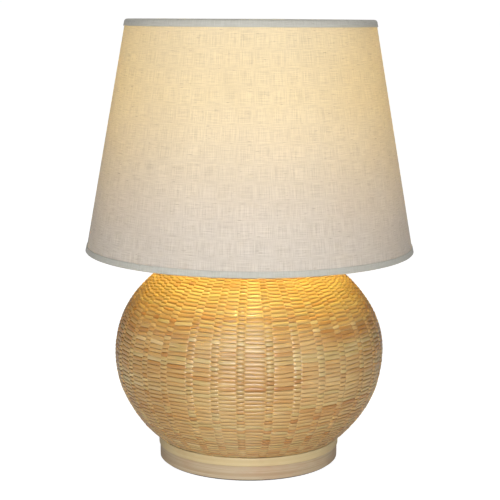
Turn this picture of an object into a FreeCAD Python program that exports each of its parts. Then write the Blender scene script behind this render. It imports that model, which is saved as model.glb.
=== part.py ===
import FreeCAD, Part
import math
import os

# Table lamp: a tapered linen shade over a woven bamboo globe on a bent bamboo foot.
# Millimetres, +Z up, origin at the centre of the underside, Y- to the front.

V = FreeCAD.Vector
UP = V(0, 0, 1)
CENTRE = V(0, 0, 0)

# ---- driving sizes --------------------------------------------------------------------

# Foot: a felt cover, a bent band and a flatter, slightly wider hoop on top of it.
FELT_T = 1.2
FELT_INSET = 2.0
BAND_R = 96.0
BAND_T = 7.0
BAND_H = 14.8
BAND_ROUND = 1.2
HOOP_PROUD = 1.2
HOOP_H = 9.0
HOOP_ROUND = 1.4
BOARD_T = 9.0
INNER_HOOP_T = 9.0
INNER_HOOP_H = 10.0
WEIGHT_GAP = 16.0
WEIGHT_T = 10.0
BASE_SCREW_COUNT = 4
BASE_SCREW_FIRST_ANGLE = 45.0
BASE_SCREW_R = 1.8
BASE_SCREW_HEAD_R = 3.6
BASE_SCREW_HEAD_T = 2.2
BASE_SCREW_COVER = 2.0

# Cable inlet at the back of the foot.
INLET_R = 3.3
INLET_FOOT_GAP = 0.9
INLET_BOARD_GAP = 0.7
GROMMET_WALL = 1.0
GROMMET_FLANGE = 1.8
GROMMET_FLANGE_T = 1.5

# Woven globe: its widest level is BODY_LOW_H above the foot.
BODY_R = 143.6
BODY_LOW_H = 93.5
BODY_HIGH_H = 109.2
BODY_SEAT_INSET = 1.0
NECK_R = 46.0
WEAVE_T = 3.4
STAKE_T = 2.0
STAKE_W = 6.0
STAKE_COUNT = 32
STAKE_FIRST_ANGLE = -2.3
PROFILE_STEPS = 8

# Threaded tube with its nuts, washers, neck and riser.
TUBE_R = 5.0
TUBE_WALL = 1.3
TUBE_TAIL = 3.0
NUT_WALL = 3.5
NUT_H = 5.0
WASHER_W = 7.0
WASHER_T = 1.5
NECK_HOOP_T = 6.5
NECK_HOOP_H = 6.0
NECK_HOOP_OVERHANG = 1.5
NECK_DISC_T = 8.0
CAP_WASHER_R = 22.0
CAP_WASHER_T = 3.0
CAP_WASHER_ROUND = 1.5
RISER_WALL = 2.9
RISER_H = 23.3

# Lampholder, from the screw shell outwards.
SHELL_BORE_R = 13.3
SHELL_WALL = 0.5
SHELL_GAP = 3.85
SHELL_SHORT = 1.4
SKIRT_WALL = 2.1
SKIRT_H = 43.0
SKIRT_TAIL_H = 8.0
FLANGE_W = 6.25
FLANGE_T = 3.0
HOLDER_OVERHANG = 0.75
HOLDER_WALL = 1.6
HOLDER_ROUND = 5.0
HUB_WALL = 3.5
HUB_H = 8.0
TUBE_SHORT = 1.0
INSERT_H = 12.0
CONTACT_T = 0.6
CONTACT_W = 5.0
CONTACT_LIFT = 2.0
SIDE_CONTACT_IN = 2.1
TERMINAL_R = 2.2
TERMINAL_H = 3.0
TERMINAL_SPREAD = 9.5

# Rotary switch, on the right of the lampholder.
SWITCH_L = 8.0
SWITCH_W = 12.0
SWITCH_T = 8.0
SWITCH_FLOOR_GAP = 2.0
SWITCH_TOP_GAP = 0.5
SWITCH_WALL_GAP = 1.5
BRACKET_T = 1.0
BRACKET_LAP = 2.5
SHAFT_R = 2.0
SHAFT_IN = 4.0
KNOB_R = 6.0
KNOB_LENGTH = 13.0
KNOB_GAP = 1.2
KNOB_ROUND = 1.0
KNOB_FLUTES = 14
FLUTE_R = 0.7
FLUTE_SHARE = 0.8

# Shade, measured over the hems.
SHADE_H = 243.5
SHADE_BOTTOM_R = 175.0
SHADE_TOP_R = 131.5
HEM_T = 0.8
HEM_TOP_H = 7.5
HEM_BOTTOM_H = 7.0
HEM_INNER_H = 6.0
FABRIC_T = 0.6
LINER_T = 1.0
WIRE_R = 1.6

# Fitter that carries the shade on the lampholder, its washer and its clamping ring.
FITTER_W = 9.95
FITTER_T = 2.0
FITTER_RISE = 67.5
ARM_COUNT = 3
ARM_LEVEL = 28.0
ARM_BEND_R = 14.0
ARM_FIRST_ANGLE = 90.0
SEAT_T = 1.0
RING_W = 6.95
RING_H = 8.0
RING_RIBS = 18
RIB_R = 1.0

# Bulb with a large screw cap and a slim candle globe that passes through the fitter.
BULB_CAP_H = 23.0
BULB_CAP_WALL = 0.6
BULB_TIP_H = 4.0
BULB_TIP_FLARE = 0.5
BULB_CONTACT_R = 4.5
BULB_CONTACT_H = 1.5
BULB_COLLAR_H = 24.0
BULB_COLLAR_STEP = 0.6
BULB_COLLAR_FLARE = 0.4
BULB_COLLAR_FLARE_H = 3.0
BULB_PASS = 1.55
BULB_LIP = 1.5
BULB_GLOBE_H = 62.0
BULB_GLOBE_WALL = 1.2
LED_BOARD_GAP = 2.8
LED_BOARD_T = 1.6
LED_COUNT = 8
LED_SIZE = 3.0
LED_RING = 0.6

# Clearances.
LOOSE = 0.3
SNUG = 0.1
RUNNING = 0.06

# ---- places that follow from the sizes ------------------------------------------------

BAND_IN_R = BAND_R - BAND_T
BAND_TOP_Z = FELT_T + BAND_H
HOOP_R = BAND_R + HOOP_PROUD
FOOT_TOP_Z = BAND_TOP_Z + HOOP_H
GROMMET_R = INLET_R + GROMMET_WALL
GROMMET_FLANGE_R = GROMMET_R + GROMMET_FLANGE
INLET_Z = FELT_T + INLET_FOOT_GAP + GROMMET_FLANGE_R
BOARD_Z = INLET_Z + GROMMET_FLANGE_R + INLET_BOARD_GAP
BOARD_R = BAND_IN_R - SNUG
BOARD_TOP_Z = BOARD_Z + BOARD_T
BASE_SCREW_BITE = INNER_HOOP_H - BASE_SCREW_COVER

BODY_SEAT_R = HOOP_R - BODY_SEAT_INSET
BODY_MID_Z = FOOT_TOP_Z + BODY_LOW_H
BODY_TOP_Z = BODY_MID_Z + BODY_HIGH_H

LOWER_NUT_Z = BOARD_Z - WASHER_T - NUT_H
TUBE_FOOT_Z = LOWER_NUT_Z - TUBE_TAIL
NUT_FLATS = 2 * (TUBE_R + NUT_WALL)
WASHER_R = TUBE_R + WASHER_W
RISER_R = TUBE_R + SNUG + RISER_WALL
DISC_TOP_Z = BODY_TOP_Z + NECK_DISC_T
NECK_HOOP_R = NECK_R + NECK_HOOP_OVERHANG
DISC_R = NECK_HOOP_R - NECK_HOOP_T - SNUG
RISER_Z = DISC_TOP_Z + CAP_WASHER_T
HOLDER_Z = RISER_Z + RISER_H

SKIRT_IN_R = SHELL_BORE_R + SHELL_WALL + SHELL_GAP
SKIRT_R = SKIRT_IN_R + SKIRT_WALL
HOLDER_R = SKIRT_R + HOLDER_OVERHANG
HOLDER_IN_R = HOLDER_R - HOLDER_WALL
HUB_R = TUBE_R + HUB_WALL
TAIL_R = HOLDER_IN_R - LOOSE
INSERT_R = TAIL_R - SKIRT_WALL - SNUG
FLANGE_R = SKIRT_R + FLANGE_W
SWITCH_Z = HOLDER_Z + HUB_H + SWITCH_FLOOR_GAP
SHAFT_Z = SWITCH_Z + SWITCH_T / 2
SWITCH_FACE_X = HOLDER_IN_R - SWITCH_WALL_GAP
KNOB_X = HOLDER_R + KNOB_GAP
INSERT_Z = SWITCH_Z + SWITCH_T + SWITCH_TOP_GAP + TERMINAL_H / 2
INSERT_TOP_Z = INSERT_Z + INSERT_H
FLANGE_Z = INSERT_Z + SKIRT_TAIL_H
CAP_H = FLANGE_Z - HOLDER_Z

SEAT_Z = FLANGE_Z + FLANGE_T
FITTER_Z = SEAT_Z + SEAT_T
FITTER_BORE_R = SKIRT_R + LOOSE
FITTER_R = FITTER_BORE_R + FITTER_W
RING_Z = FITTER_Z + FITTER_T
RING_R = FITTER_BORE_R + RING_W
SKIRT_TOP_Z = SEAT_Z + SKIRT_H

SHADE_Z = FITTER_Z - FITTER_RISE
LAMP_H = SHADE_Z + SHADE_H
SHADE_TAPER = (SHADE_BOTTOM_R - SHADE_TOP_R) / SHADE_H
WALL_T = HEM_T + FABRIC_T + LINER_T
WIRE_WIDTH = WIRE_R / math.cos(math.atan(SHADE_TAPER))
RING_WIRE_INSET = WALL_T + SNUG + WIRE_WIDTH
TOP_WIRE_Z = LAMP_H - HEM_T - SNUG - WIRE_R
BOTTOM_WIRE_Z = SHADE_Z + HEM_T + SNUG + WIRE_R

BULB_CAP_R = SHELL_BORE_R - LOOSE
BULB_R = FITTER_BORE_R - BULB_PASS
BULB_Z = INSERT_TOP_Z + CONTACT_LIFT + CONTACT_T + LOOSE
BULB_CAP_Z = BULB_Z + BULB_CONTACT_H + BULB_TIP_H
BULB_COLLAR_Z = BULB_CAP_Z + BULB_CAP_H
BULB_GLOBE_Z = BULB_COLLAR_Z + BULB_COLLAR_H
SHELL_H = BULB_COLLAR_Z - INSERT_TOP_Z - SHELL_SHORT
GLOBE_BORE_R = BULB_R - BULB_GLOBE_WALL
LED_BOARD_R = GLOBE_BORE_R - LED_BOARD_GAP
LED_Z = BULB_GLOBE_Z + BULB_LIP + LED_BOARD_T


# ---- helpers --------------------------------------------------------------------------

def revolved(outline):
    """A solid of revolution about Z from (radius, z) corners."""
    corners = [V(r, 0, z) for r, z in outline]
    wire = Part.makePolygon(corners + corners[:1])
    return Part.Face(wire).revolve(CENTRE, UP, 360)


def ring(inner, outer, z, height):
    return revolved([(inner, z), (outer, z), (outer, z + height), (inner, z + height)])


def disc(radius, z, height):
    return Part.makeCylinder(radius, height, V(0, 0, z))


def circles_at(solid, radius):
    """The round edges about Z that have this radius."""
    found = []
    for edge in solid.Edges:
        if isinstance(edge.Curve, Part.Circle) and abs(edge.Curve.Radius - radius) < 1e-4:
            found.append(edge)
    return found


def turned(shape, degrees):
    copy = shape.copy()
    copy.rotate(CENTRE, UP, degrees)
    return copy


def around(shape, count, first=0.0):
    """Evenly spaced copies about Z, as separate solids."""
    return [turned(shape, first + 360.0 * i / count) for i in range(count)]


def group(solids):
    return Part.makeCompound(solids)


def hexagon(flats, height, bore, z):
    corner = flats / math.sqrt(3)
    corners = [V(corner * math.cos(a), corner * math.sin(a), z)
               for a in (math.pi * i / 3 for i in range(7))]
    nut = Part.Face(Part.makePolygon(corners)).extrude(V(0, 0, height))
    return nut.cut(disc(bore, z - 1, height + 2))


def shade_r(z):
    """Outside radius of the shade, over the hems, at a height."""
    return SHADE_BOTTOM_R - (z - SHADE_Z) * SHADE_TAPER


def shade_layer(inset, thickness, z_low, z_high):
    """A tapered wall whose outside lies this far inside the shade's outline."""
    low = shade_r(z_low) - inset
    high = shade_r(z_high) - inset
    return revolved([(low, z_low), (high, z_high), (high - thickness, z_high),
                     (low - thickness, z_low)])


def globe_half_height(edge_r, edge_z):
    """Half height of the ellipse that has BODY_R at BODY_MID_Z and meets an edge."""
    return abs(edge_z - BODY_MID_Z) / math.sqrt(1 - (edge_r / BODY_R) ** 2)


def globe_r(z, inset):
    """Radius of the globe at a height, on a surface this far inside the outside."""
    edge = (NECK_R, BODY_TOP_Z) if z > BODY_MID_Z else (BODY_SEAT_R, FOOT_TOP_Z)
    half = globe_half_height(*edge) - inset
    rise = (z - BODY_MID_Z) / half
    return (BODY_R - inset) * math.sqrt(1 - rise ** 2)


def globe_curve(inset):
    """The globe's side from foot to neck as one smooth curve."""
    heights = [FOOT_TOP_Z + (BODY_MID_Z - FOOT_TOP_Z) * i / PROFILE_STEPS
               for i in range(PROFILE_STEPS)]
    # Steps close up towards the neck, where the side turns over.
    heights += [BODY_MID_Z + (BODY_TOP_Z - BODY_MID_Z) * math.sin(math.pi * i / (2 * PROFILE_STEPS))
                for i in range(PROFILE_STEPS + 1)]
    curve = Part.BSplineCurve()
    curve.interpolate([V(globe_r(z, inset), 0, z) for z in heights])
    return curve.toShape()


def globe_shell(inset, thickness):
    outside = globe_curve(inset)
    inside = globe_curve(inset + thickness)
    rims = [Part.makeLine(outside.Vertexes[i].Point, inside.Vertexes[i].Point) for i in (0, 1)]
    wire = Part.Wire(Part.__sortEdges__([outside, rims[0], inside, rims[1]]))
    return Part.Face(wire).revolve(CENTRE, UP, 360)


def hole_along_x(radius, x_low, x_high, z):
    return Part.makeCylinder(radius, x_high - x_low, V(x_low, 0, z), V(1, 0, 0))


def inner_hoop_r():
    """The inner hoop stands just inside the feet of the stakes."""
    return globe_r(FOOT_TOP_Z, WEAVE_T + STAKE_T) - SNUG


def base_screw_pitch_r():
    return inner_hoop_r() - INNER_HOOP_T / 2


# ---- foot -----------------------------------------------------------------------------

def felt_cover():
    return disc(BAND_R - FELT_INSET, 0, FELT_T)


def foot_band():
    band = ring(BAND_IN_R, BAND_R, FELT_T, BAND_TOP_Z - FELT_T)
    band = band.makeFillet(BAND_ROUND, circles_at(band, BAND_R))
    inlet = Part.makeCylinder(GROMMET_R, 2 * BAND_T,
                              V(0, BAND_IN_R - BAND_T / 2, INLET_Z), V(0, 1, 0))
    return band.cut(inlet)


def foot_hoop():
    hoop = ring(BAND_IN_R, HOOP_R, BAND_TOP_Z, HOOP_H)
    return hoop.makeFillet(HOOP_ROUND, circles_at(hoop, HOOP_R))


def base_screw_holes(radius):
    hole = Part.makeCylinder(radius, BOARD_T + BASE_SCREW_BITE,
                             V(base_screw_pitch_r(), 0, BOARD_Z))
    return group(around(hole, BASE_SCREW_COUNT, BASE_SCREW_FIRST_ANGLE))


def base_board():
    board = disc(BOARD_R, BOARD_Z, BOARD_T)
    board = board.cut(disc(TUBE_R + SNUG, BOARD_Z - 1, BOARD_T + 2))
    return board.cut(base_screw_holes(BASE_SCREW_R + RUNNING))


def inner_hoop():
    hoop = ring(inner_hoop_r() - INNER_HOOP_T, inner_hoop_r(), BOARD_TOP_Z, INNER_HOOP_H)
    return hoop.cut(base_screw_holes(BASE_SCREW_R + RUNNING))


def base_screws():
    pitch_r = base_screw_pitch_r()
    head_z = BOARD_Z - BASE_SCREW_HEAD_T
    shank = Part.makeCylinder(BASE_SCREW_R, BOARD_T + BASE_SCREW_BITE, V(pitch_r, 0, BOARD_Z))
    head = Part.makeCylinder(BASE_SCREW_HEAD_R, BASE_SCREW_HEAD_T, V(pitch_r, 0, head_z))
    slot = Part.makeBox(2 * BASE_SCREW_HEAD_R, BASE_SCREW_HEAD_T / 3, BASE_SCREW_HEAD_T / 2,
                        V(pitch_r - BASE_SCREW_HEAD_R, -BASE_SCREW_HEAD_T / 6, head_z))
    return group(around(shank.fuse(head).cut(slot), BASE_SCREW_COUNT, BASE_SCREW_FIRST_ANGLE))


def weight_plate():
    weight_r = inner_hoop_r() - INNER_HOOP_T - WEIGHT_GAP
    return ring(TUBE_R + SNUG, weight_r, BOARD_TOP_Z, WEIGHT_T)


def cable_grommet():
    """A flanged bush through the band, with its flanges flat on both faces."""
    inner_y = math.sqrt(BAND_IN_R ** 2 - GROMMET_FLANGE_R ** 2)
    back = V(0, 1, 0)
    barrel = Part.makeCylinder(GROMMET_R - RUNNING, BAND_R - inner_y,
                               V(0, inner_y, INLET_Z), back)
    outer = Part.makeCylinder(GROMMET_FLANGE_R, GROMMET_FLANGE_T, V(0, BAND_R, INLET_Z), back)
    inner = Part.makeCylinder(GROMMET_FLANGE_R, GROMMET_FLANGE_T,
                              V(0, inner_y - GROMMET_FLANGE_T, INLET_Z), back)
    bore = Part.makeCylinder(INLET_R, 3 * BAND_T, V(0, inner_y - BAND_T, INLET_Z), back)
    return barrel.fuse([outer, inner]).cut(bore).removeSplitter()


# ---- globe and neck -------------------------------------------------------------------

def woven_body():
    return globe_shell(0, WEAVE_T)


def body_stakes():
    sheet = globe_shell(WEAVE_T, STAKE_T)
    slab = Part.makeBox(BODY_R, STAKE_W, BODY_TOP_Z, V(0, -STAKE_W / 2, 0))
    return group(around(sheet.common(slab), STAKE_COUNT, STAKE_FIRST_ANGLE))


def neck_hoop():
    hoop = ring(NECK_HOOP_R - NECK_HOOP_T, NECK_HOOP_R, BODY_TOP_Z, NECK_HOOP_H)
    return hoop.makeFillet(NECK_HOOP_OVERHANG, circles_at(hoop, NECK_HOOP_R))


def neck_disc():
    return ring(TUBE_R + SNUG, DISC_R, BODY_TOP_Z, NECK_DISC_T)


def cap_washer():
    washer = ring(TUBE_R + SNUG, CAP_WASHER_R, DISC_TOP_Z, CAP_WASHER_T)
    middle = DISC_TOP_Z + CAP_WASHER_T / 2
    top = [e for e in circles_at(washer, CAP_WASHER_R) if e.CenterOfMass.z > middle]
    return washer.makeFillet(CAP_WASHER_ROUND, top)


def threaded_tube():
    top = HOLDER_Z + HUB_H - TUBE_SHORT
    return ring(TUBE_R - TUBE_WALL, TUBE_R, TUBE_FOOT_Z, top - TUBE_FOOT_Z)


def washer(z):
    return ring(TUBE_R + SNUG, WASHER_R, z, WASHER_T)


def nut(z):
    return hexagon(NUT_FLATS, NUT_H, TUBE_R + RUNNING, z)


def riser_sleeve():
    return ring(TUBE_R + SNUG, RISER_R, RISER_Z, RISER_H)


# ---- lampholder -----------------------------------------------------------------------

def holder_cap():
    middle = HOLDER_Z + CAP_H / 2
    cup = disc(HOLDER_R, HOLDER_Z, CAP_H)
    bottom = [e for e in circles_at(cup, HOLDER_R) if e.CenterOfMass.z < middle]
    cup = cup.makeFillet(HOLDER_ROUND, bottom)
    hollow = disc(HOLDER_IN_R, HOLDER_Z + HOLDER_WALL, CAP_H)
    low = [e for e in circles_at(hollow, HOLDER_IN_R) if e.CenterOfMass.z < middle]
    hollow = hollow.makeFillet(HOLDER_ROUND - HOLDER_WALL, low)
    hub = disc(HUB_R, HOLDER_Z, HUB_H)
    cup = cup.cut(hollow).fuse(hub)
    cup = cup.cut(disc(TUBE_R + RUNNING, HOLDER_Z - 1, HUB_H + 2))
    shaft = hole_along_x(SHAFT_R + LOOSE, HOLDER_IN_R - 1, HOLDER_R + 1, SHAFT_Z)
    return cup.cut(shaft)


def holder_skirt():
    tail = ring(TAIL_R - SKIRT_WALL, TAIL_R, INSERT_Z, SKIRT_TAIL_H)
    tube = ring(SKIRT_IN_R, SKIRT_R, FLANGE_Z, SKIRT_TOP_Z - FLANGE_Z)
    flange = ring(SKIRT_IN_R, FLANGE_R, FLANGE_Z, FLANGE_T)
    step = ring(TAIL_R - SKIRT_WALL, SKIRT_R, FLANGE_Z, FLANGE_T)
    return tail.fuse([tube, flange, step]).removeSplitter()


def holder_insert():
    """The ceramic core that holds the shell, the contacts and the terminals."""
    core = disc(INSERT_R, INSERT_Z, INSERT_H)
    holes = group([disc_at(TERMINAL_R + RUNNING, side * TERMINAL_SPREAD, INSERT_Z, TERMINAL_H / 2)
                   for side in (-1, 1)])
    return core.cut(holes)


def disc_at(radius, y, z, height):
    return Part.makeCylinder(radius, height, V(0, y, z))


def terminal_screws():
    screws = []
    for side in (-1, 1):
        y = side * TERMINAL_SPREAD
        head = disc_at(TERMINAL_R, y, INSERT_Z - TERMINAL_H / 2, TERMINAL_H)
        slot = Part.makeBox(2 * TERMINAL_R, TERMINAL_R / 3, TERMINAL_H / 4,
                            V(-TERMINAL_R, y - TERMINAL_R / 6, INSERT_Z - TERMINAL_H / 2))
        screws.append(head.cut(slot))
    return group(screws)


def screw_shell():
    return ring(SHELL_BORE_R, SHELL_BORE_R + SHELL_WALL, INSERT_TOP_Z, SHELL_H)


def centre_contact():
    """A bent spring strip that presses up on the bulb's tip."""
    z = INSERT_TOP_Z
    half = CONTACT_W / 2
    top = z + CONTACT_LIFT + CONTACT_T
    outline = [V(-2 * half, -half, z), V(-half, -half, z), V(0, -half, top - CONTACT_T),
               V(2 * half, -half, top - CONTACT_T), V(2 * half, -half, top),
               V(0, -half, top), V(-half - CONTACT_T, -half, z + CONTACT_T),
               V(-2 * half, -half, z + CONTACT_T)]
    face = Part.Face(Part.makePolygon(outline + outline[:1]))
    return face.extrude(V(0, CONTACT_W, 0))


def side_contact():
    """A short strip from the core up the inside of the shell's foot."""
    return Part.makeBox(CONTACT_T, CONTACT_W, CONTACT_LIFT,
                        V(BULB_CAP_R - SIDE_CONTACT_IN - CONTACT_T, -CONTACT_W / 2, INSERT_TOP_Z))


def switch_body():
    box = Part.makeBox(SWITCH_L, SWITCH_W, SWITCH_T,
                       V(SWITCH_FACE_X - SWITCH_L, -SWITCH_W / 2, SWITCH_Z))
    return box.cut(hole_along_x(SHAFT_R + RUNNING, SWITCH_FACE_X - SHAFT_IN, HOLDER_R, SHAFT_Z))


def switch_bracket():
    """A bent plate: its foot lies on the hub, and the switch stands against its back."""
    z = HOLDER_Z + HUB_H
    back = SWITCH_FACE_X - SWITCH_L
    start = HUB_R - BRACKET_LAP
    foot = Part.makeBox(back - start, SWITCH_W, BRACKET_T, V(start, -SWITCH_W / 2, z))
    plate = Part.makeBox(BRACKET_T, SWITCH_W, SWITCH_Z + SWITCH_T - z,
                         V(back - BRACKET_T, -SWITCH_W / 2, z))
    return foot.fuse(plate).removeSplitter()


def switch_shaft():
    start = SWITCH_FACE_X - SHAFT_IN + LOOSE
    end = KNOB_X + KNOB_LENGTH / 2
    return Part.makeCylinder(SHAFT_R, end - start, V(start, 0, SHAFT_Z), V(1, 0, 0))


def switch_knob():
    middle = KNOB_X + KNOB_LENGTH / 2
    knob = Part.makeCylinder(KNOB_R, KNOB_LENGTH, V(KNOB_X, 0, SHAFT_Z), V(1, 0, 0))
    knob = knob.makeFillet(KNOB_ROUND, [e for e in knob.Edges if e.CenterOfMass.x > middle
                                        and isinstance(e.Curve, Part.Circle)])
    for i in range(KNOB_FLUTES):
        angle = 2 * math.pi * i / KNOB_FLUTES
        place = V(KNOB_X, KNOB_R * math.cos(angle), SHAFT_Z + KNOB_R * math.sin(angle))
        knob = knob.cut(Part.makeCylinder(FLUTE_R, KNOB_LENGTH * FLUTE_SHARE, place, V(1, 0, 0)))
    return knob.cut(hole_along_x(SHAFT_R, KNOB_X - 1, middle, SHAFT_Z))


# ---- shade ----------------------------------------------------------------------------

def seat_washer():
    return ring(FITTER_BORE_R, FLANGE_R, SEAT_Z, SEAT_T)


def shade_ring():
    body = ring(FITTER_BORE_R, RING_R - RIB_R, RING_Z, RING_H)
    rib = Part.makeCylinder(RIB_R, RING_H, V(RING_R - RIB_R, 0, RING_Z))
    return body.fuse(around(rib, RING_RIBS))


def fitter_ring():
    return ring(FITTER_BORE_R, FITTER_R, FITTER_Z, FITTER_T)


def wire_hoop(z):
    return Part.makeTorus(shade_r(z) - RING_WIRE_INSET, WIRE_R, V(0, 0, z))


def bottom_ring():
    return wire_hoop(BOTTOM_WIRE_Z)


def top_ring():
    return wire_hoop(TOP_WIRE_Z)


def arm_path():
    """Level out from the fitter ring, one bend, then straight to the bottom ring."""
    z = FITTER_Z + FITTER_T / 2
    end = V(shade_r(BOTTOM_WIRE_Z) - RING_WIRE_INSET, 0, BOTTOM_WIRE_Z)
    corner = V(FITTER_R + ARM_LEVEL, 0, z)
    start = V(FITTER_R - WIRE_R, 0, z)
    slope = (end - corner).normalize()
    turn = V(1, 0, 0).getAngle(slope)
    back = ARM_BEND_R * math.tan(turn / 2)
    first = corner - V(back, 0, 0)
    last = corner + slope * back
    middle = first + V(ARM_BEND_R * math.sin(turn / 2), 0,
                       -ARM_BEND_R * (1 - math.cos(turn / 2)))
    return Part.Wire([Part.makeLine(start, first), Part.Arc(first, middle, last).toShape(),
                      Part.makeLine(last, end)])


def arm_wire(radius):
    path = arm_path()
    start = path.Vertexes[0].Point
    section = Part.Wire([Part.makeCircle(radius, start, V(1, 0, 0))])
    return path.makePipeShell([section], True, False)


def fitter_arms():
    """Three wires, shaped at their ends to the ring and the hoop that they are welded to."""
    arm = arm_wire(WIRE_R).cut(fitter_ring()).cut(bottom_ring())
    arm = max(arm.Solids, key=lambda s: s.Volume)
    return group(around(arm, ARM_COUNT, ARM_FIRST_ANGLE))


def shade_fabric():
    return shade_layer(HEM_T, FABRIC_T, SHADE_Z + HEM_T, LAMP_H - HEM_T)


def shade_liner():
    return shade_layer(HEM_T + FABRIC_T, LINER_T, SHADE_Z + HEM_T, LAMP_H - HEM_T)


def hem(z_rim, height, direction):
    """Tape folded over a rim and its wire: direction is -1 for the top rim, 1 for the other."""
    turn = z_rim + direction * HEM_T
    end = z_rim + direction * height
    inner_end = z_rim + direction * HEM_INNER_H
    inner = WALL_T + 2 * SNUG + 2 * WIRE_WIDTH
    return revolved([(shade_r(end), end), (shade_r(z_rim), z_rim),
                     (shade_r(z_rim) - inner - HEM_T, z_rim),
                     (shade_r(inner_end) - inner - HEM_T, inner_end),
                     (shade_r(inner_end) - inner, inner_end),
                     (shade_r(turn) - inner, turn),
                     (shade_r(turn) - HEM_T, turn),
                     (shade_r(end) - HEM_T, end)])


def top_hem():
    return hem(LAMP_H, HEM_TOP_H, -1)


def bottom_hem():
    """The tape is slit where each arm passes through it to the wire hoop."""
    slits = around(arm_wire(WIRE_R + SNUG), ARM_COUNT, ARM_FIRST_ANGLE)
    return hem(SHADE_Z, HEM_BOTTOM_H, 1).cut(slits)


# ---- bulb -----------------------------------------------------------------------------

def bulb_contact():
    return disc(BULB_CONTACT_R, BULB_Z, BULB_CONTACT_H)


def bulb_insulator():
    z = BULB_Z + BULB_CONTACT_H
    return Part.makeCone(BULB_CONTACT_R + BULB_TIP_FLARE, BULB_CAP_R - BULB_CAP_WALL, BULB_TIP_H,
                         V(0, 0, z))


def bulb_cap():
    shell = ring(BULB_CAP_R - BULB_CAP_WALL, BULB_CAP_R, BULB_CAP_Z, BULB_CAP_H)
    floor = disc(BULB_CAP_R, BULB_CAP_Z, BULB_CAP_WALL)
    return shell.fuse(floor).removeSplitter()


def bulb_housing():
    z = BULB_COLLAR_Z
    top = BULB_GLOBE_Z
    neck = BULB_CAP_R + BULB_COLLAR_STEP
    lip = GLOBE_BORE_R - SNUG
    return revolved([(0, z), (neck, z), (neck + BULB_COLLAR_FLARE, z + BULB_COLLAR_FLARE_H),
                     (BULB_R, top), (lip, top), (lip, top + BULB_LIP), (0, top + BULB_LIP)])


def globe_outline(inset):
    """The candle globe's side, from its seat to the rounded tip, as a smooth curve."""
    r = BULB_R - inset
    height = BULB_GLOBE_H - inset
    curve = Part.BSplineCurve()
    curve.interpolate([V(r, 0, BULB_GLOBE_Z), V(r * 0.96, 0, BULB_GLOBE_Z + height * 0.30),
                       V(r * 0.72, 0, BULB_GLOBE_Z + height * 0.62),
                       V(r * 0.36, 0, BULB_GLOBE_Z + height * 0.88),
                       V(0, 0, BULB_GLOBE_Z + height)],
                      InitialTangent=V(0, 0, 1), FinalTangent=V(-1, 0, 0))
    return curve.toShape()


def bulb_globe():
    outside = globe_outline(0)
    inside = globe_outline(BULB_GLOBE_WALL)
    edges = [outside, inside]
    edges.append(Part.makeLine(outside.Vertexes[0].Point, inside.Vertexes[0].Point))
    edges.append(Part.makeLine(outside.Vertexes[1].Point, inside.Vertexes[1].Point))
    wire = Part.Wire(Part.__sortEdges__(edges))
    return Part.Face(wire).revolve(CENTRE, UP, 360)


def led_board():
    return disc(LED_BOARD_R, BULB_GLOBE_Z + BULB_LIP, LED_BOARD_T)


def led_chips():
    chip = Part.makeBox(LED_SIZE, LED_SIZE, LED_SIZE / 3,
                        V(LED_BOARD_R * LED_RING - LED_SIZE / 2, -LED_SIZE / 2, LED_Z))
    return group(around(chip, LED_COUNT))


# ---- the lamp -------------------------------------------------------------------------

def pieces():
    return {
        "felt_cover": felt_cover(),
        "foot_band": foot_band(),
        "foot_hoop": foot_hoop(),
        "inner_hoop": inner_hoop(),
        "base_board": base_board(),
        "base_screws": base_screws(),
        "weight_plate": weight_plate(),
        "cable_grommet": cable_grommet(),
        "woven_body": woven_body(),
        "body_stakes": body_stakes(),
        "neck_hoop": neck_hoop(),
        "neck_disc": neck_disc(),
        "cap_washer": cap_washer(),
        "threaded_tube": threaded_tube(),
        "lower_nut": nut(LOWER_NUT_Z),
        "lower_washer": washer(BOARD_Z - WASHER_T),
        "upper_nut": nut(BODY_TOP_Z - WASHER_T - NUT_H),
        "upper_washer": washer(BODY_TOP_Z - WASHER_T),
        "riser_sleeve": riser_sleeve(),
        "holder_cap": holder_cap(),
        "holder_skirt": holder_skirt(),
        "holder_insert": holder_insert(),
        "screw_shell": screw_shell(),
        "centre_contact": centre_contact(),
        "side_contact": side_contact(),
        "terminal_screws": terminal_screws(),
        "switch_body": switch_body(),
        "switch_bracket": switch_bracket(),
        "switch_shaft": switch_shaft(),
        "switch_knob": switch_knob(),
        "seat_washer": seat_washer(),
        "shade_ring": shade_ring(),
        "fitter_ring": fitter_ring(),
        "fitter_arms": fitter_arms(),
        "bottom_ring": bottom_ring(),
        "top_ring": top_ring(),
        "shade_liner": shade_liner(),
        "shade_fabric": shade_fabric(),
        "top_hem": top_hem(),
        "bottom_hem": bottom_hem(),
        "bulb_contact": bulb_contact(),
        "bulb_insulator": bulb_insulator(),
        "bulb_cap": bulb_cap(),
        "bulb_housing": bulb_housing(),
        "bulb_globe": bulb_globe(),
        "led_board": led_board(),
        "led_chips": led_chips(),
    }


os.makedirs("parts", exist_ok=True)
for name, shape in pieces().items():
    shape.exportStep(f"parts/{name}.step")
    print(name, "solids", len(shape.Solids), "valid", shape.isValid(), "volume", round(shape.Volume, 1))
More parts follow.
